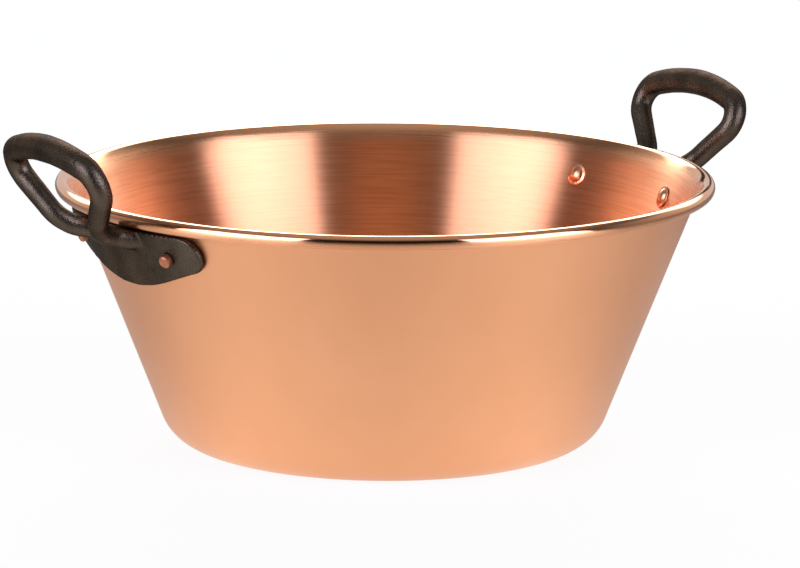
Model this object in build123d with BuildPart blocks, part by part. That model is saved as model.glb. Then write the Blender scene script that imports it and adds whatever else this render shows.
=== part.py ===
"""Copper jam pan: a sheet copper bowl with a rolled rim and two riveted cast iron handles.

Millimetres, +Z up. The origin is the middle of the underside, and the handles lie along X.
"""

import os
from math import acos, asin, atan2, cos, degrees, hypot, radians, sin, sqrt, tan

from build123d import *

os.makedirs("parts", exist_ok=True)

# Bowl
rim_diameter = 265.0  # over the rolled rim
pan_height = 108.0
base_diameter = 180.0  # where the wall leaves the rounded corner
corner_radius = 18.0  # outside, between base and wall
copper = 1.25  # thickness of the sheet

# Rolled rim: the wall flares outwards, then wraps round a hoop of wire
wire_diameter = 3.0
wire_clearance = 0.15
flare_radius = 25.0
roll_gap = 0.2  # the straight wall, carried on upwards, would clear the roll by this much
edge_gap = 0.2  # between the flare and the edge of the sheet, tucked under it

# Handle plate, which follows the wall just under the roll
plate_thickness = 3.0
plate_clearance = 0.25  # between plate and wall
plate_gap = 1.7  # between the plate's top edge and the roll
plate_length = 93.4
plate_end = 12.4  # height of the plate at its ends, before rounding
plate_belly = 28.6  # depth at which the two lower edges would meet
end_radius = 6.5
heel_radius = 7.5
belly_radius = 74.0
plate_edge_radius = 0.9

# Handle loop: two roots, two elbows, legs that spread, shoulders and a crown
root_spread = 24.8  # between the middles of the two roots
root_drop = 10.35  # below the rim
root_rise = 8.0  # angle at which the roots leave the plate, upwards
root_run = 5.7
root_sink = 2.0  # depth of the roots in the plate
root_width = 13.6
root_depth = 10.4
neck_width = 10.6
neck_depth = 9.4
root_slip = 1.2  # the root's middle lies this much lower than the bar's
neck_share = 0.5  # of the root's run, where its middle section stands
neck_slip_share = 0.33
neck_turn_share = 0.67  # of the turn from the plate's normal to the bar's heading
elbow_radius = 14.0
loop_tilt = 23.8  # of the loop's plane from upright, outwards
leg_spread = 42.7  # angle of each leg from the loop's middle line
loop_span = 63.0  # between the middles of the bar at the shoulders
shoulder_radius = 8.8
crown_radius = 83.3

# Thickness of the round bar, from the elbows up to the middle of the crown
elbow_thickness = 8.5
leg_thickness = 8.4
shoulder_thickness = 8.9
crown_thickness = 10.2
grip_thickness = 10.8

# Rivets: a domed head inside the pan, the swollen end outside the plate
rivet_inset = 16.0  # from the ends of the plate
rivet_drop = 15.5  # below the rim, at the wall
shank_diameter = 4.2
shank_clearance = 0.1
head_diameter = 9.2
head_height = 2.0
head_edge = 0.5
tail_diameter = 5.2
tail_length = 3.4
tail_rounding = 0.35
dimple_diameter = 3.2
dimple_depth = 0.35
seat_clearance = 0.05  # under the head and under the swollen end

overrun = 10.0  # of cuts and of shapes that are trimmed
lean_rounds = 12

roll_radius = wire_diameter / 2 + copper
wire_centre = Vector(rim_diameter / 2 - roll_radius, pan_height - roll_radius)


def find_wall_lean():
    """Angle of the wall from upright, from the base diameter to its place beside the roll."""
    lean = 0.0
    for _ in range(lean_rounds):
        run = wire_centre.X - base_diameter / 2
        rise = wire_centre.Y - corner_radius * (1 - sin(lean))
        lean = atan2(run, rise) - asin((roll_radius + roll_gap) / hypot(run, rise))
    return lean


wall_lean = find_wall_lean()
up_wall = Vector(sin(wall_lean), cos(wall_lean))
off_wall = Vector(cos(wall_lean), -sin(wall_lean))
corner_centre = Vector(base_diameter / 2 - corner_radius * cos(wall_lean), corner_radius)

# The flare touches the wall at its foot and the roll at its top.
wire_inset = roll_radius + roll_gap + copper  # wire to the cooking side of the wall
flare_drop = sqrt((flare_radius - roll_radius) ** 2 - (flare_radius - wire_inset) ** 2)
flare_centre = wire_centre + off_wall * (flare_radius - wire_inset) - up_wall * flare_drop
roll_way = wire_centre - flare_centre
flare_angle = 180 - degrees(wall_lean)
roll_angle = degrees(atan2(roll_way.Y, roll_way.X))
edge_way = roll_radius + edge_gap
flare_back = (flare_radius - copper) ** 2 - roll_way.length**2 - edge_way**2
roll_turn = 360 - degrees(acos(flare_back / (2 * roll_way.length * edge_way)))


def wall_radius(height, depth=0.0):
    """Radius at a height of the line that lies a depth outside the wall's outer face."""
    foot_height = corner_radius * (1 - sin(wall_lean))
    return base_diameter / 2 + (height - foot_height) * tan(wall_lean) + depth / cos(wall_lean)


def rivet_plane(turn):
    """Plane on the wall's outer face where a rivet stands, facing outwards."""
    height = pan_height - rivet_drop
    around = radians(turn)
    radius = wall_radius(height)
    return Plane(
        origin=(radius * cos(around), radius * sin(around), height),
        x_dir=(-sin(around), cos(around), 0),
        z_dir=(off_wall.X * cos(around), off_wall.X * sin(around), off_wall.Y),
    )


rivet_side = plate_length / 2 - rivet_inset
rivet_angle = degrees(asin(rivet_side / wall_radius(pan_height - rivet_drop)))
rivet_planes = {
    "rivet_right_front": rivet_plane(-rivet_angle),
    "rivet_right_back": rivet_plane(rivet_angle),
    "rivet_left_front": rivet_plane(180 + rivet_angle),
    "rivet_left_back": rivet_plane(180 - rivet_angle),
}


def save(piece, name):
    """Labels a finished piece and writes it under its name."""
    piece.part.label = name
    export_step(piece.part, f"parts/{name}.step")


# Bowl: one sheet, drawn as its cooking side and its outer side
with BuildPart() as pan_body:
    with BuildSketch(Plane.XZ):
        with BuildLine():
            sides = []
            for depth in (0, copper):
                bend = CenterArc(
                    corner_centre, corner_radius - copper + depth, -90, flare_angle - 90
                )
                flare = CenterArc(
                    flare_centre, flare_radius - depth, flare_angle, roll_angle - flare_angle
                )
                roll = CenterArc(wire_centre, roll_radius - depth, roll_angle, -roll_turn)
                floor = Line((0, copper - depth), bend @ 0)
                Line(bend @ 1, flare @ 0)
                sides.append((floor @ 0, roll @ 1))
            Line(sides[0][0], sides[1][0])
            Line(sides[0][1], sides[1][1])
        make_face()
    revolve(axis=Axis.Z)
    with Locations(*rivet_planes.values()):
        Cylinder(shank_diameter / 2 + shank_clearance, overrun, mode=Mode.SUBTRACT)
save(pan_body, "pan_body")

# Rim wire: a closed hoop inside the roll
with BuildPart() as rim_wire:
    with BuildSketch(Plane.XZ):
        with Locations(wire_centre):
            Circle(wire_diameter / 2 - wire_clearance)
    revolve(axis=Axis.Z)
save(rim_wire, "rim_wire")

# Handle: first the plate, a piece of cone trimmed to its outline
plate_top = pan_height - 2 * roll_radius - plate_gap
band_top = plate_top + overrun
band_bottom = plate_top - plate_belly - overrun
# Drawn on the far side of the pan, so that the seam of the cone stays off the plate
far_side = Plane(origin=(0, 0, 0), x_dir=(-1, 0, 0), z_dir=(0, 1, 0))

root_height = pan_height - root_drop
root_side = root_spread / 2
face_radius = wall_radius(root_height, plate_clearance + plate_thickness)
root_point = Vector(sqrt(face_radius**2 - root_side**2), root_side, root_height)

root_heading = Vector(cos(radians(root_rise)), 0, sin(radians(root_rise)))
loop_up = Vector(sin(radians(loop_tilt)), 0, cos(radians(loop_tilt)))
leg_heading = loop_up * cos(radians(leg_spread)) + Vector(0, sin(radians(leg_spread)), 0)
elbow_turn = root_heading.get_angle(leg_heading)

with BuildLine(
    Plane(origin=root_point, x_dir=root_heading, z_dir=root_heading.cross(leg_heading))
):
    root_line = Line((0, 0), (root_run, 0))
    elbow = JernArc((root_run, 0), (1, 0), elbow_radius, elbow_turn)

elbow_top = elbow @ 1
shoulder_side = loop_span / 2 - shoulder_radius
shoulder_start = shoulder_side + shoulder_radius * cos(radians(leg_spread))
leg_rise = (shoulder_start - elbow_top.Y) / tan(radians(leg_spread))
shoulder_rise = leg_rise + shoulder_radius * sin(radians(leg_spread))
crown_drop = sqrt((crown_radius - shoulder_radius) ** 2 - shoulder_side**2)
crown_angle = degrees(atan2(crown_drop, shoulder_side))

with BuildLine(
    Plane(
        origin=(elbow_top.X, 0, elbow_top.Z),
        x_dir=(0, 1, 0),
        z_dir=Vector(0, 1, 0).cross(loop_up),
    )
):
    leg = Line((elbow_top.Y, 0), (shoulder_start, leg_rise))
    shoulder = CenterArc(
        (shoulder_side, shoulder_rise), shoulder_radius, -leg_spread, leg_spread + crown_angle
    )
    crown = CenterArc(
        (0, shoulder_rise - crown_drop), crown_radius, crown_angle, 90 - crown_angle
    )


def square_to(centre, heading):
    """Plane of the bar's section at a point, with its width along the rim."""
    return Plane(origin=centre, x_dir=heading.cross(outwards), z_dir=heading)


# The loop's bar: four tapering stretches from an elbow to the middle of the crown, a root
# that spreads into the plate, and the same again on the other side
outwards = Vector(1, 0, -1)
plate_heading = Vector(off_wall.X, 0, off_wall.Y)
neck_heading = plate_heading + (root_heading - plate_heading) * neck_turn_share
root_lowering = Vector(up_wall.X, 0, up_wall.Y) * root_slip
root_start = root_point - plate_heading * root_sink - root_lowering
neck = root_line @ neck_share - root_lowering * neck_slip_share
stretches = (
    (elbow, elbow_thickness, leg_thickness),
    (leg, leg_thickness, shoulder_thickness),
    (shoulder, shoulder_thickness, crown_thickness),
    (crown, crown_thickness, grip_thickness),
)
with BuildPart() as loop:
    for line, start_thickness, end_thickness in stretches:
        with BuildSketch(square_to(line @ 0, line % 0)):
            Circle(start_thickness / 2)
        with BuildSketch(square_to(line @ 1, line % 1)):
            Circle(end_thickness / 2)
        sweep(path=line, multisection=True)
    with BuildSketch(square_to(root_start, plate_heading)):
        Ellipse(root_width / 2, root_depth / 2)
    with BuildSketch(square_to(neck, neck_heading)):
        Ellipse(neck_width / 2, neck_depth / 2)
    with BuildSketch(square_to(elbow @ 0, elbow % 0)):
        Circle(elbow_thickness / 2)
    loft()
    mirror(about=Plane.XZ)

with BuildPart() as handle:
    with BuildSketch(far_side):
        with BuildLine():
            inner = plate_clearance
            outer = plate_clearance + plate_thickness
            Polyline(
                (wall_radius(band_bottom, inner), band_bottom),
                (wall_radius(band_bottom, outer), band_bottom),
                (wall_radius(band_top, outer), band_top),
                (wall_radius(band_top, inner), band_top),
                close=True,
            )
        make_face()
    revolve(axis=Axis.Z)
    with BuildSketch(Plane.YZ) as outline:
        with BuildLine():
            Polyline(
                (0, plate_top - plate_belly),
                (plate_length / 2, plate_top - plate_end),
                (plate_length / 2, plate_top),
                (-plate_length / 2, plate_top),
                (-plate_length / 2, plate_top - plate_end),
                close=True,
            )
        make_face()
        # From the top down: the two ends, the two heels below them, then the belly
        fillet(outline.vertices().sort_by(Axis.Y)[-2:], end_radius)
        fillet(outline.vertices().sort_by(Axis.Y)[1:3], heel_radius)
        fillet(outline.vertices().sort_by(Axis.Y)[0], belly_radius)
    extrude(amount=rim_diameter, mode=Mode.INTERSECT)
    plate_face = handle.faces().sort_by(SortBy.AREA)[-1]
    fillet(plate_face.edges(), plate_edge_radius)

    add(loop.part)
    with Locations(rivet_planes["rivet_right_front"], rivet_planes["rivet_right_back"]):
        Cylinder(shank_diameter / 2 + shank_clearance, 2 * overrun, mode=Mode.SUBTRACT)

for name, turn in (("handle_right", 0), ("handle_left", 180)):
    with BuildPart() as handle_copy:
        add(handle.part, rotation=(0, 0, turn))
    save(handle_copy, name)

# Rivet: drawn with its axis upright and the wall's outer face at zero
head_radius = head_diameter / 2
wall_hollow = head_radius**2 / (2 * wall_radius(pan_height - rivet_drop))
head_seat = -(copper + wall_hollow + seat_clearance)
tail_seat = plate_clearance + plate_thickness + seat_clearance
tail_end = tail_seat + tail_length
dome_height = head_height - head_edge
dome_radius = (head_radius**2 + dome_height**2) / (2 * dome_height)
dome_turn = degrees(asin(head_radius / dome_radius))

with BuildPart() as rivet:
    with BuildSketch(Plane.XZ):
        with BuildLine():
            dome = JernArc((0, head_seat - head_height), (1, 0), dome_radius, dome_turn)
            tail = Polyline(
                dome @ 1,
                (head_radius, head_seat),
                (shank_diameter / 2, head_seat),
                (shank_diameter / 2, tail_seat),
                (tail_diameter / 2, tail_seat),
                (tail_diameter / 2, tail_end - tail_rounding),
                (tail_diameter / 2 - tail_rounding, tail_end),
                (dimple_diameter / 2, tail_end),
                (0, tail_end - dimple_depth),
                dome @ 0,
            )
        make_face()
    revolve(axis=Axis.Z)

for name, plane in rivet_planes.items():
    with BuildPart() as rivet_copy:
        with Locations(plane):
            add(rivet.part)
    save(rivet_copy, name)
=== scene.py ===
"""Looks, light and camera of the copper jam pan, in metres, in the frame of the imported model."""

import math

import bpy
from mathutils import Matrix, Vector


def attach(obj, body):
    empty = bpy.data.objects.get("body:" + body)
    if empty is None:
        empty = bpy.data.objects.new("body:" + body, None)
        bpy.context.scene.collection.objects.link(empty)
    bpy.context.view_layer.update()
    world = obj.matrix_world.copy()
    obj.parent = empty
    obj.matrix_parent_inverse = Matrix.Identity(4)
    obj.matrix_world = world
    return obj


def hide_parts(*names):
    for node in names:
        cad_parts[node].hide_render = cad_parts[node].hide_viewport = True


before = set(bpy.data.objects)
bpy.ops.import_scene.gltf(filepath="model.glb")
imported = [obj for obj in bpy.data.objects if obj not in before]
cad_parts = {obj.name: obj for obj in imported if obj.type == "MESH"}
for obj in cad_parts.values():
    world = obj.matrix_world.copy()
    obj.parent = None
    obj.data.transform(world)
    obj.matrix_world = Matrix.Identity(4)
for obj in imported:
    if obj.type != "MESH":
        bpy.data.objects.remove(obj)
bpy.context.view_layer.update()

# Bowl, with the sizes that its node has
rim_radius = 0.1325
pan_height = 0.108
base_radius = 0.09  # where the wall leaves the rounded corner
corner_radius = 0.018
sheet = 0.00125
wire_radius = 0.0015
flare_radius = 0.025
roll_gap = 0.0002  # between the roll and the wall
edge_gap = 0.0002  # between the sheet's edge and the flare
lean_rounds = 12
bowl_steps = 240
bend_steps = 12
flare_steps = 8
roll_steps = 26
wall_rings = 8
bowl_smooth_angle = math.radians(40)

# Rivets, with the sizes that their nodes have
rivet_side = 0.0307  # from the middle of the handle
rivet_drop = 0.0155  # below the pan's top
shank_radius = 0.0021
head_radius = 0.0046
head_height = 0.002
head_edge = 0.0006
collar_width = 0.0012
collar_fall = 0.0002  # from the dome's foot to the collar's edge
tail_radius = 0.0026
tail_length = 0.003
tail_rounding = 0.0007
dimple_radius = 0.0016
dimple_depth = 0.00035
seat_clearance = 0.00005
plate_stack = 0.00325  # plate and its clearance, from the wall outwards
rivet_steps = 48
dome_steps = 10
bevel_steps = 3
rivet_smooth_angle = math.radians(35)

# Castings
voxel = 0.0006
merge_distance = 0.000002
cast_smoothing = 8  # rounds
cast_smoothing_share = 0.5
cast_lump = 0.009
cast_depth = 0.00022
cast_level = 0.6  # of the noise, where the face stays in place

# Colours of the metals
copper_light = (0.945, 0.457, 0.242)
copper_deep = (0.9, 0.42, 0.213)
copper_dark = (0.86, 0.378, 0.187)
rivet_hollow = (0.62, 0.24, 0.12)
worn_hollow = (0.42, 0.16, 0.085)
worn_light = (0.62, 0.26, 0.14)
iron_dark = (0.058, 0.044, 0.032)
iron_rubbed = (0.126, 0.094, 0.067)
iron_edge_tint = (0.3, 0.28, 0.26, 1)
steel_dark = (0.3, 0.3, 0.31)
steel_light = (0.5, 0.5, 0.51)

# Turning marks: how often they change round the axis, and how many cross a metre
brushed_marks = {"Arc": 4.5, "Lines": 1000.0}
satin_marks = {"Arc": 3.0, "Lines": 1100.0}
wire_marks = {"Arc": 6.0, "Lines": 2500.0}
mark_detail = 3
noise_range = (0.3, 0.7)  # where most of a noise's values lie

# Brushed side: its streaks, and the heights where the flare and the polished roll begin
streak_range = (0.38, 0.58)
brushed_roughness = (0.315, 0.375)
brushed_depth = 0.000006
along_marks = 0.25  # of a turn, the anisotropy's rotation
flare_heights = (0.1005, 0.1035)
flare_smoothing = -0.06  # added to the roughness
polish_heights = (0.1045, 0.1062)
polish_smoothing = -0.18  # added to the roughness

# Satin side
satin_blotches = 14.0
satin_roughness = (0.34, 0.4)
satin_depth = 0.000004

# Rivet skin
rivet_blotches = 420.0
rivet_roughness = (0.36, 0.2)
rivet_depth = 0.00005
worn_from = (0.12, 0.1215)  # from the Z axis, between the heads inside and the ends outside
worn_roughness = 0.24  # added to the skin's

# Iron skin
iron_blotches = 60.0
pebble_scale = 1500
pebble_detail = 3
pebble_depth = 0.00018
iron_roughness = (0.2, 0.34)
iron_metallic = 0.86

# Wire, and the blotches of every skin
wire_roughness = (0.25, 0.5)
blotch_detail = 4
blotch_roughness = 0.6

# Camera, fitted to the photograph
image_width = 800
focal = 5053.3  # in pixels
axis_column = 384.6  # of the pan's axis in the picture
axis_drop = 0.5  # in pixels, below the picture's middle
camera_turn = math.radians(33.4)
camera_pitch = 0.1975
camera_roll = math.radians(0.3)
camera_way = 2.0  # from the pan's axis
camera_height = 0.4636
sensor_width = 36

# Studio, seen from the pan. The box's middle, reach and edge are headings from the camera's way.
# The rear's and the lamp's edges are cosines from the way straight back. Feet, tops and the
# overhead edge are sines of the lift.
box_middle = math.radians(52.4)
box_reach = math.radians(23.4)
box_edge = math.radians(0.5)
box_foot = (0.0, 0.08)
box_top = (0.62, 0.72)
box_glow = 5.0
box_fall = 0.75  # of the glow is left at the edge
box_tint = (0.95, 1.0, 1.28)
rear_edge = (-0.28, 0.75)
rear_glow = 0.66
rear_top = (0.45, 0.7)
lamp_edge = (0.67, 0.86)
lamp_glow = 8.0
lamp_foot = (0.28, 0.4)
lamp_top = (0.74, 0.84)
room_glow = 0.01
overhead_edge = (0.6, 1.0)
overhead_glow = 0.44
backdrop = (1.0, 1.0, 1.0)

floor_radius = 6.0
floor_drop = 0.0002
floor_steps = 96
floor_white = (0.9, 0.9, 0.9, 1)
floor_roughness = 0.9

# Painted light on the floor that only the metal's reflections see: a painted pool of light round
# the pan, painted brighter zones further out at some headings, and painted shade to the sides, by
# distance from the pan's axis and by heading
pool_edge = (0.1, 0.18)
pool_glow = (0.91, 0.73)
pool_end = (0.26, 0.42)
pool_swell_turn = (math.radians(5), math.radians(42))
pool_swell = (1, 1.17)
pool_fade_turn = (math.radians(48), math.radians(100))
pool_fade = (1, 0.62)
far_rise_turn = (math.radians(22), math.radians(34))
far_rise = (0.05, 1.6)
far_fall_turn = (math.radians(68), math.radians(78))
far_fall = (1, 0.1)
mirrored_share = 0.9  # of the glow, the rest is the lit floor
seen_share = 0.92

roll_radius = wire_radius + sheet
wire_centre = Vector((rim_radius - roll_radius, pan_height - roll_radius))


def find_wall_lean():
    """Angle of the wall from upright, from the base to its place beside the roll."""
    lean = 0.0
    for _ in range(lean_rounds):
        run = wire_centre.x - base_radius
        rise = wire_centre.y - corner_radius * (1 - math.sin(lean))
        lean = math.atan2(run, rise) - math.asin((roll_radius + roll_gap) / math.hypot(run, rise))
    return lean


wall_lean = find_wall_lean()
up_wall = Vector((math.sin(wall_lean), math.cos(wall_lean)))
off_wall = Vector((math.cos(wall_lean), -math.sin(wall_lean)))


def wall_radius(height):
    """Radius of the wall's outer face at a height."""
    foot_height = corner_radius * (1 - math.sin(wall_lean))
    return base_radius + (height - foot_height) * math.tan(wall_lean)


# Modelling

def start_alone():
    """Deselects everything, in object mode."""
    if bpy.context.object and bpy.context.object.mode != "OBJECT":
        bpy.ops.object.mode_set(mode="OBJECT")
    bpy.ops.object.select_all(action="DESELECT")


def start_line(name, radius, height):
    """A new piece of one point, beside the Z axis, left in edit mode."""
    start_alone()
    bpy.ops.mesh.primitive_plane_add(size=sheet, location=(0, 0, 0))
    piece = bpy.context.object
    piece.name = name
    bpy.ops.object.mode_set(mode="EDIT")
    bpy.ops.mesh.select_all(action="SELECT")
    bpy.ops.mesh.merge(type="CENTER")
    bpy.ops.transform.translate(value=(radius, 0, height))
    return piece


def draw_to(start, end, steps=1):
    """Draws the line on, from its last point, in equal steps. Points are radius and height."""
    step = (end - start) / steps
    for _ in range(steps):
        bpy.ops.mesh.extrude_vertices_move(
            TRANSFORM_OT_translate={"value": (step.x, 0, step.y)}
        )


def draw_arc(centre, angle, steps):
    """Draws the line on along an arc, anticlockwise in radius and height if positive."""
    bpy.ops.mesh.spin(
        steps=steps, angle=angle, center=(centre.x, 0, centre.y), axis=(0, 1, 0)
    )


def join_doubles():
    """Selects the whole mesh and joins points that lie in the same place."""
    bpy.ops.mesh.select_all(action="SELECT")
    bpy.ops.mesh.remove_doubles(threshold=merge_distance)


def turn_round(steps):
    """Turns the drawn line round the Z axis and closes it."""
    bpy.ops.mesh.select_all(action="SELECT")
    bpy.ops.mesh.spin(steps=steps, angle=2 * math.pi, center=(0, 0, 0), axis=(0, 0, 1))
    join_doubles()


def polar(centre, radius, angle):
    """Point on a circle in radius and height."""
    return centre + Vector((math.cos(angle), math.sin(angle))) * radius


def add_modifier(piece, kind):
    """A new modifier, the last of the piece's."""
    bpy.ops.object.modifier_add(type=kind)
    return piece.modifiers[-1]


def apply_modifier(modifier):
    """Makes a modifier's result the mesh of the active piece."""
    bpy.ops.object.modifier_apply(modifier=modifier.name)


def make_bowl():
    """The sheet, drawn along its cooking side from the middle of the floor into the roll."""
    corner_centre = Vector((base_radius - corner_radius * math.cos(wall_lean), corner_radius))
    wire_inset = roll_radius + roll_gap + sheet
    flare_drop = math.sqrt(
        (flare_radius - roll_radius) ** 2 - (flare_radius - wire_inset) ** 2
    )
    flare_centre = wire_centre + off_wall * (flare_radius - wire_inset) - up_wall * flare_drop
    roll_way = wire_centre - flare_centre
    flare_angle = math.pi - wall_lean
    roll_angle = math.atan2(roll_way.y, roll_way.x)
    edge_way = roll_radius + edge_gap
    flare_back = (flare_radius - sheet) ** 2 - roll_way.length_squared - edge_way**2
    roll_turn = 2 * math.pi - math.acos(flare_back / (2 * roll_way.length * edge_way))

    middle = Vector((0, sheet))
    floor_edge = Vector((corner_centre.x, sheet))
    bend_radius = corner_radius - sheet
    wall_foot = polar(corner_centre, bend_radius, -wall_lean)
    wall_top = polar(flare_centre, flare_radius, flare_angle)
    bowl = start_line("bowl", middle.x, middle.y)
    draw_to(middle, floor_edge, wall_rings)
    draw_arc(corner_centre, math.pi / 2 - wall_lean, bend_steps)
    draw_to(wall_foot, wall_top, wall_rings)
    draw_arc(flare_centre, roll_angle - flare_angle, flare_steps)
    draw_arc(wire_centre, -roll_turn, roll_steps)
    turn_round(bowl_steps)
    bpy.ops.mesh.normals_make_consistent(inside=True)
    bpy.ops.object.mode_set(mode="OBJECT")
    # The order of the faces changes from run to run, so the floor is looked for by its place
    floor_face = min(bowl.data.polygons, key=lambda face: face.center.xy.length)
    if floor_face.normal.z < 0:
        bowl.data.flip_normals()

    bowl.data.materials.append(brushed_copper)
    bowl.data.materials.append(satin_copper)
    # The thickness goes outwards, and the new side and the edge take the second material
    thicken = add_modifier(bowl, "SOLIDIFY")
    thicken.thickness = sheet
    thicken.offset = -1
    thicken.material_offset = 1
    thicken.material_offset_rim = 1
    apply_modifier(thicken)
    bpy.ops.object.shade_smooth_by_angle(angle=bowl_smooth_angle)
    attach(bowl, "root")
    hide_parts("pan_body")


def rivet_place(turn):
    """Where a rivet stands: its Z axis runs out of the wall's outer face."""
    height = pan_height - rivet_drop
    lift = Matrix.Translation((wall_radius(height), 0, height))
    lean = Matrix.Rotation(math.pi / 2 + wall_lean, 4, "Y")
    return Matrix.Rotation(turn, 4, "Z") @ lift @ lean


def make_rivet(name, turn):
    """A rivet with a domed head inside the pan and a dimpled end outside the plate."""
    wall_hollow = head_radius**2 / (2 * wall_radius(pan_height - rivet_drop))
    head_seat = -(sheet + wall_hollow + seat_clearance)
    tail_seat = plate_stack + seat_clearance
    tail_end = tail_seat + tail_length
    dome_foot = head_radius - collar_width
    dome_height = head_height - head_edge
    dome_radius = (dome_foot**2 + dome_height**2) / (2 * dome_height)
    dome_top = Vector((0, head_seat - head_height))
    dome_centre = Vector((0, dome_top.y + dome_radius))
    dome_rim = Vector((dome_foot, head_seat - head_edge))

    rivet = start_line(name, dome_top.x, dome_top.y)
    draw_arc(dome_centre, math.asin(dome_foot / dome_radius), dome_steps)
    line = [
        dome_rim,
        Vector((head_radius, head_seat - head_edge + collar_fall)),
        Vector((head_radius, head_seat)),
        Vector((shank_radius, head_seat)),
        Vector((shank_radius, tail_seat)),
        Vector((tail_radius, tail_seat)),
        Vector((tail_radius, tail_end - tail_rounding)),
        Vector((tail_radius - tail_rounding, tail_end)),
        Vector((dimple_radius, tail_end)),
        Vector((0, tail_end - dimple_depth)),
    ]
    for start, end in zip(line, line[1:]):
        draw_to(start, end)
    turn_round(rivet_steps)
    bpy.ops.mesh.normals_make_consistent(inside=False)
    bpy.ops.object.mode_set(mode="OBJECT")
    rounding = add_modifier(rivet, "BEVEL")
    rounding.width = tail_rounding / 2
    rounding.segments = bevel_steps
    rounding.limit_method = "ANGLE"
    apply_modifier(rounding)
    bpy.ops.object.shade_smooth_by_angle(angle=rivet_smooth_angle)
    rivet.data.transform(rivet_place(turn))
    rivet.data.materials.append(rivet_copper)
    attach(rivet, "root")
    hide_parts(name.replace("rivet_copper_", "rivet_"))


def make_casting(name, node):
    """The handle as it leaves the mould: corners run together, faces a little uneven."""
    start_alone()
    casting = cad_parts[node].copy()
    casting.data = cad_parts[node].data.copy()
    casting.name = name
    bpy.context.collection.objects.link(casting)
    casting.parent = None
    casting.select_set(True)
    bpy.context.view_layer.objects.active = casting
    bpy.ops.object.mode_set(mode="EDIT")
    join_doubles()
    bpy.ops.object.mode_set(mode="OBJECT")

    skin = add_modifier(casting, "REMESH")
    skin.mode = "VOXEL"
    skin.voxel_size = voxel
    apply_modifier(skin)

    easing = add_modifier(casting, "SMOOTH")
    easing.factor = cast_smoothing_share
    easing.iterations = cast_smoothing
    apply_modifier(easing)

    lumps = bpy.data.textures.new(name + "_lumps", "CLOUDS")
    lumps.noise_scale = cast_lump
    unevenness = add_modifier(casting, "DISPLACE")
    unevenness.texture = lumps
    unevenness.strength = cast_depth
    unevenness.mid_level = cast_level
    apply_modifier(unevenness)
    bpy.data.textures.remove(lumps)

    bpy.ops.object.shade_smooth()
    casting.data.materials.clear()
    casting.data.materials.append(cast_iron)
    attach(casting, "root")
    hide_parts(node)


# Nodes

def fill_input(tree, socket, value):
    """Links an input to a socket, or sets it if the value is plain."""
    if isinstance(value, bpy.types.NodeSocket):
        tree.links.new(value, socket)
    else:
        socket.default_value = value


def combine(tree, operation, first, *others):
    """Numbers or sockets taken together by a Math node each, from left to right."""
    total = first
    for other in others:
        node = tree.nodes.new("ShaderNodeMath")
        node.operation = operation
        fill_input(tree, node.inputs[0], total)
        fill_input(tree, node.inputs[1], other)
        total = node.outputs[0]
    return total


def drop_sign(tree, value):
    """A number without its sign."""
    node = tree.nodes.new("ShaderNodeMath")
    node.operation = "ABSOLUTE"
    tree.links.new(value, node.inputs[0])
    return node.outputs[0]


def combine_vectors(tree, operation, first, second=None):
    """A Vector Math node whose inputs are vectors or sockets."""
    node = tree.nodes.new("ShaderNodeVectorMath")
    node.operation = operation
    fill_input(tree, node.inputs[0], first)
    if second is not None:
        fill_input(tree, node.inputs["Scale" if operation == "SCALE" else 1], second)
    return node.outputs["Value" if operation in ("LENGTH", "DOT_PRODUCT") else "Vector"]


def mix_colours(tree, share, first, second):
    """Two colours mixed by a share between zero and one."""
    mix = tree.nodes.new("ShaderNodeMix")
    mix.data_type = "RGBA"
    tree.links.new(share, mix.inputs[0])
    first_colour, second_colour = mix.inputs[6:8]
    for socket, colour in ((first_colour, first), (second_colour, second)):
        fill_input(tree, socket, (*colour, 1) if isinstance(colour, tuple) else colour)
    return mix.outputs[2]


def spread_over(tree, value, source, target):
    """Stretches a value from one range to another, held at both ends."""
    node = tree.nodes.new("ShaderNodeMapRange")
    tree.links.new(value, node.inputs["Value"])
    node.inputs["From Min"].default_value, node.inputs["From Max"].default_value = source
    node.inputs["To Min"].default_value, node.inputs["To Max"].default_value = target
    return node.outputs["Result"]


def add_noise(tree, place, scale, detail):
    """A noise texture that reads a place."""
    noise = tree.nodes.new("ShaderNodeTexNoise")
    noise.inputs["Detail"].default_value = detail
    fill_input(tree, noise.inputs["Scale"], scale)
    tree.links.new(place, noise.inputs["Vector"])
    return noise


def split(tree, place):
    """The three coordinates of a place."""
    node = tree.nodes.new("ShaderNodeSeparateXYZ")
    tree.links.new(place, node.inputs[0])
    return node.outputs


def drop_height(tree, place):
    """A place with its height taken away."""
    return combine_vectors(tree, "MULTIPLY", place, (1, 1, 0))


def find_reach(tree, place):
    """Distance of a place from the Z axis."""
    return combine_vectors(tree, "LENGTH", drop_height(tree, place))


def use_group(tree, group, place, **values):
    """A group with its own values, reading the given place."""
    node = tree.nodes.new("ShaderNodeGroup")
    node.node_tree = group
    tree.links.new(place, node.inputs["Vector"])
    for label, value in values.items():
        node.inputs[label].default_value = value
    return node.outputs["Value"]


def add_bump(tree, height, distance, shader):
    """Raises the surface by a height map."""
    bump = tree.nodes.new("ShaderNodeBump")
    bump.inputs["Distance"].default_value = distance
    tree.links.new(height, bump.inputs["Height"])
    tree.links.new(bump.outputs["Normal"], shader.inputs["Normal"])


# Finishes

def start_group(name, labels):
    """A group that reads a place and some numbers, and gives one value."""
    group = bpy.data.node_groups.new(name, "ShaderNodeTree")
    group.interface.new_socket("Vector", in_out="INPUT", socket_type="NodeSocketVector")
    for label in labels:
        group.interface.new_socket(label, in_out="INPUT", socket_type="NodeSocketFloat")
    group.interface.new_socket("Value", in_out="OUTPUT", socket_type="NodeSocketFloat")
    given = group.nodes.new("NodeGroupInput").outputs
    result = group.nodes.new("NodeGroupOutput").inputs["Value"]
    return group, given, result


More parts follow.
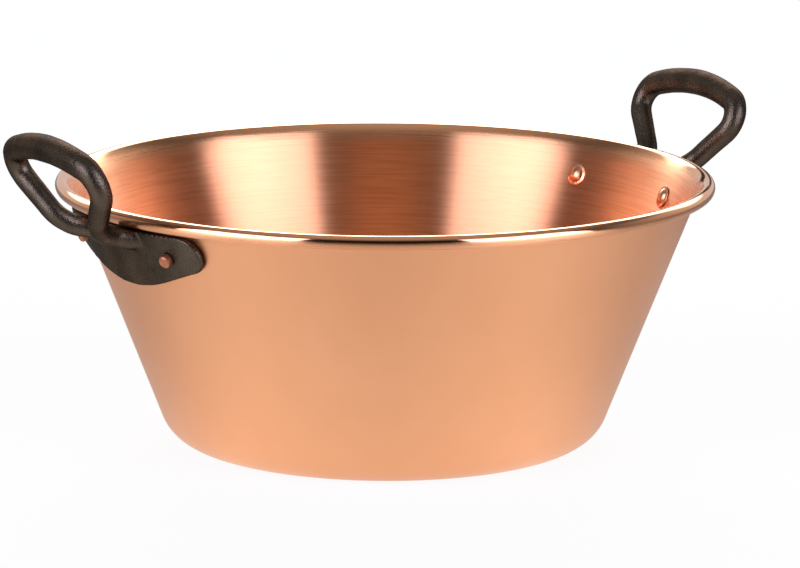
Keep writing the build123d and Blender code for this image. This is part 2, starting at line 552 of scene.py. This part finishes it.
def make_turned_lines():
    """Fine lines round the Z axis, as a wheel leaves them on spun sheet."""
    group, given, result = start_group("turned_lines", ["Arc", "Lines"])
    heading = combine_vectors(group, "NORMALIZE", drop_height(group, given["Vector"]))
    around = split(group, combine_vectors(group, "SCALE", heading, given["Arc"]))
    height = split(group, given["Vector"])["Z"]
    way = combine(group, "ADD", find_reach(group, given["Vector"]), height)
    place = group.nodes.new("ShaderNodeCombineXYZ")
    group.links.new(around["X"], place.inputs["X"])
    group.links.new(around["Y"], place.inputs["Y"])
    group.links.new(combine(group, "MULTIPLY", way, given["Lines"]), place.inputs["Z"])
    grain = add_noise(group, place.outputs[0], 1, mark_detail)
    group.links.new(grain.outputs["Fac"], result)
    return group


def make_blotches():
    """Soft patches of slightly different tone, for handling and age."""
    group, given, result = start_group("blotches", ["Scale"])
    patches = add_noise(group, given["Vector"], given["Scale"], blotch_detail)
    patches.inputs["Roughness"].default_value = blotch_roughness
    group.links.new(spread_over(group, patches.outputs["Fac"], noise_range, (0, 1)), result)
    return group


turned_lines = make_turned_lines()
blotches = make_blotches()


def start_material(name, metallic=1):
    """A new material, with its tree, object coordinates and shader."""
    material = bpy.data.materials.new(name)
    material.use_nodes = True
    tree = material.node_tree
    place = tree.nodes.new("ShaderNodeTexCoord").outputs["Object"]
    shader = tree.nodes["Principled BSDF"]
    shader.inputs["Metallic"].default_value = metallic
    return material, tree, place, shader


def paint(tree, shader, colour, rough):
    """Gives a shader its colour and its roughness."""
    tree.links.new(colour, shader.inputs["Base Color"])
    tree.links.new(rough, shader.inputs["Roughness"])


def make_brushed_copper():
    """Cooking side: turned brushing, smoother on the flare, and a polished roll at the rim."""
    material, tree, place, shader = start_material("brushed_copper")
    lines = use_group(tree, turned_lines, place, **brushed_marks)
    height = split(tree, place)["Z"]
    polish = spread_over(tree, height, polish_heights, (0, 1))
    streaks = spread_over(tree, lines, streak_range, (0, 1))
    brushed = mix_colours(tree, streaks, copper_dark, copper_light)
    rough = combine(
        tree,
        "ADD",
        spread_over(tree, lines, noise_range, brushed_roughness),
        combine(tree, "MULTIPLY", polish, polish_smoothing),
        spread_over(tree, height, flare_heights, (0, flare_smoothing)),
    )
    paint(tree, shader, mix_colours(tree, polish, brushed, copper_light), rough)
    turning = tree.nodes.new("ShaderNodeTangent")
    turning.direction_type = "RADIAL"
    turning.axis = "Z"
    tree.links.new(turning.outputs[0], shader.inputs["Tangent"])
    shader.inputs["Anisotropic"].default_value = 1
    shader.inputs["Anisotropic Rotation"].default_value = along_marks
    add_bump(tree, lines, brushed_depth, shader)
    return material


def make_satin_copper():
    """Outer side: an even satin finish with faint turning marks."""
    material, tree, place, shader = start_material("satin_copper")
    lines = use_group(tree, turned_lines, place, **satin_marks)
    patches = use_group(tree, blotches, place, Scale=satin_blotches)
    colour = mix_colours(tree, patches, copper_deep, copper_light)
    paint(tree, shader, colour, spread_over(tree, lines, noise_range, satin_roughness))
    add_bump(tree, lines, satin_depth, shader)
    return material


def make_rivet_copper():
    """Hammered copper, duller in the hollows, and worn dull outside the pan."""
    material, tree, place, shader = start_material("rivet_copper")
    patches = use_group(tree, blotches, place, Scale=rivet_blotches)
    worn = spread_over(tree, find_reach(tree, place), worn_from, (0, 1))
    polished = mix_colours(tree, patches, rivet_hollow, copper_light)
    dull = mix_colours(tree, patches, worn_hollow, worn_light)
    skin = spread_over(tree, patches, (0, 1), rivet_roughness)
    wear = combine(tree, "MULTIPLY", worn, worn_roughness)
    rough = combine(tree, "ADD", skin, wear)
    paint(tree, shader, mix_colours(tree, worn, polished, dull), rough)
    add_bump(tree, patches, rivet_depth, shader)
    return material


def make_cast_iron():
    """Dark, seasoned casting with a pebbled skin, lighter where it is rubbed."""
    material, tree, place, shader = start_material("cast_iron", iron_metallic)
    patches = use_group(tree, blotches, place, Scale=iron_blotches)
    pebbles = add_noise(tree, place, pebble_scale, pebble_detail).outputs["Fac"]
    colour = mix_colours(tree, patches, iron_dark, iron_rubbed)
    paint(tree, shader, colour, spread_over(tree, pebbles, noise_range, iron_roughness))
    shader.inputs["Specular Tint"].default_value = iron_edge_tint
    add_bump(tree, pebbles, pebble_depth, shader)
    return material


def make_wire_steel():
    """Plain drawn wire, for the hoop in the roll."""
    material, tree, place, shader = start_material("wire_steel")
    lines = use_group(tree, turned_lines, place, **wire_marks)
    colour = mix_colours(tree, lines, steel_dark, steel_light)
    paint(tree, shader, colour, spread_over(tree, lines, (0, 1), wire_roughness))
    return material


brushed_copper = make_brushed_copper()
satin_copper = make_satin_copper()
rivet_copper = make_rivet_copper()
cast_iron = make_cast_iron()
wire_steel = make_wire_steel()

# Pieces

make_bowl()
rivet_angle = math.asin(rivet_side / wall_radius(pan_height - rivet_drop))
rivets = (
    ("rivet_copper_right_front", -rivet_angle),
    ("rivet_copper_right_back", rivet_angle),
    ("rivet_copper_left_front", math.pi + rivet_angle),
    ("rivet_copper_left_back", math.pi - rivet_angle),
)
for name, turn in rivets:
    make_rivet(name, turn)
make_casting("casting_right", "handle_right")
make_casting("casting_left", "handle_left")
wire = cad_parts["rim_wire"]
wire.data.materials.clear()
wire.data.materials.append(wire_steel)

# Studio

away = Vector((math.sin(camera_turn), math.cos(camera_turn), 0))
sideways = Vector((math.cos(camera_turn), -math.sin(camera_turn), 0))
upwards = Vector((0, 0, 1))


def along(tree, place, direction):
    """How far a place lies along a direction."""
    return combine_vectors(tree, "DOT_PRODUCT", place, direction)


def turn_from_camera(tree, place):
    """Angle round the Z axis from the camera's side, the same to the left and to the right."""
    side, near = along(tree, place, sideways), along(tree, place, -away)
    return drop_sign(tree, combine(tree, "ARCTAN2", side, near))


def make_world():
    """White to the camera. To the metal, a dim room with lights round it and overhead.

    There is a tall soft box on each side of the camera, a pale back with a narrow lamp high up in
    it, and a glow from above.
    """
    world = bpy.data.worlds.new("studio")
    world.use_nodes = True
    tree = world.node_tree
    way = tree.nodes.new("ShaderNodeTexCoord").outputs["Generated"]
    lift = along(tree, way, upwards)
    behind = along(tree, way, away)
    turn = turn_from_camera(tree, way)
    aside = drop_sign(tree, combine(tree, "SUBTRACT", turn, box_middle))
    box = combine(
        tree,
        "MULTIPLY",
        spread_over(tree, aside, (box_reach - box_edge, box_reach), (1, 0)),
        spread_over(tree, aside, (0, box_reach), (box_glow, box_glow * box_fall)),
        spread_over(tree, lift, box_foot, (0, 1)),
        spread_over(tree, lift, box_top, (1, 0)),
    )
    rear = combine(
        tree,
        "MULTIPLY",
        spread_over(tree, behind, rear_edge, (0, rear_glow)),
        spread_over(tree, lift, rear_top, (1, 0)),
    )
    lamp = combine(
        tree,
        "MULTIPLY",
        spread_over(tree, behind, lamp_edge, (0, lamp_glow)),
        spread_over(tree, lift, lamp_foot, (0, 1)),
        spread_over(tree, lift, lamp_top, (1, 0)),
    )
    overhead = spread_over(tree, lift, overhead_edge, (room_glow, overhead_glow))
    room = combine(tree, "ADD", rear, overhead, lamp)
    tinted_box = combine_vectors(tree, "SCALE", box_tint, box)
    studio = combine_vectors(tree, "ADD", tinted_box, room)
    seen = tree.nodes.new("ShaderNodeLightPath").outputs["Is Camera Ray"]
    light = mix_colours(tree, seen, studio, backdrop)
    tree.links.new(light, tree.nodes["Background"].inputs["Color"])
    bpy.context.scene.world = world


def make_floor():
    """A plain white floor to the camera that keeps a faint shadow; to the metal's reflections it
    glows with a painted pool of light and painted shade.
    """
    start_alone()
    bpy.ops.mesh.primitive_circle_add(
        vertices=floor_steps, radius=floor_radius, fill_type="NGON", location=(0, 0, -floor_drop)
    )
    floor = bpy.context.object
    floor.name = "floor"
    material, tree, place, shader = start_material("white_floor", metallic=0)
    shader.inputs["Base Color"].default_value = floor_white
    shader.inputs["Roughness"].default_value = floor_roughness
    shader.inputs["Specular IOR Level"].default_value = 0
    reach = find_reach(tree, place)
    turn = turn_from_camera(tree, place)
    # Painted pool of light round the pan: dimmer away from it, a little brighter off the camera's
    # way, painted darker to the sides
    pool = combine(
        tree,
        "MULTIPLY",
        spread_over(tree, reach, pool_edge, pool_glow),
        spread_over(tree, turn, pool_swell_turn, pool_swell),
        spread_over(tree, turn, pool_fade_turn, pool_fade),
    )
    # Painted light further out: brighter at some headings, nearly dark beyond them
    far = combine(
        tree,
        "MULTIPLY",
        spread_over(tree, turn, far_rise_turn, far_rise),
        spread_over(tree, turn, far_fall_turn, far_fall),
    )
    light = mix_colours(tree, spread_over(tree, reach, pool_end, (0, 1)), pool, far)
    ray = tree.nodes.new("ShaderNodeLightPath").outputs
    seen, mirrored = ray["Is Camera Ray"], ray["Is Glossy Ray"]
    # The painted light glows only to glossy rays; the camera sees an even white
    strength = combine(tree, "ADD", combine(tree, "MULTIPLY", mirrored, light), seen)
    glow = tree.nodes.new("ShaderNodeEmission")
    tree.links.new(strength, glow.inputs["Strength"])
    share = combine(
        tree,
        "ADD",
        combine(tree, "MULTIPLY", mirrored, mirrored_share),
        combine(tree, "MULTIPLY", seen, seen_share),
    )
    mix = tree.nodes.new("ShaderNodeMixShader")
    tree.links.new(share, mix.inputs[0])
    tree.links.new(shader.outputs[0], mix.inputs[1])
    tree.links.new(glow.outputs[0], mix.inputs[2])
    tree.links.new(mix.outputs[0], tree.nodes["Material Output"].inputs["Surface"])
    floor.data.materials.append(material)


def add_camera():
    """The camera of the photograph."""
    lens = bpy.data.cameras.new("camera")
    lens.sensor_width = sensor_width
    lens.lens = focal * sensor_width / image_width
    lens.shift_x = (image_width / 2 - axis_column) / image_width
    lens.shift_y = axis_drop / image_width
    camera = bpy.data.objects.new("camera", lens)
    camera.location = -away * camera_way + upwards * camera_height
    heading = Matrix.Rotation(-camera_turn, 3, "Z")
    tilt = Matrix.Rotation(math.pi / 2 - camera_pitch, 3, "X")
    roll = Matrix.Rotation(camera_roll, 3, "Z")
    camera.rotation_euler = (heading @ tilt @ roll).to_euler()
    bpy.context.collection.objects.link(camera)
    bpy.context.scene.camera = camera


make_world()
make_floor()
add_camera()
bpy.context.scene.view_settings.view_transform = "Standard"
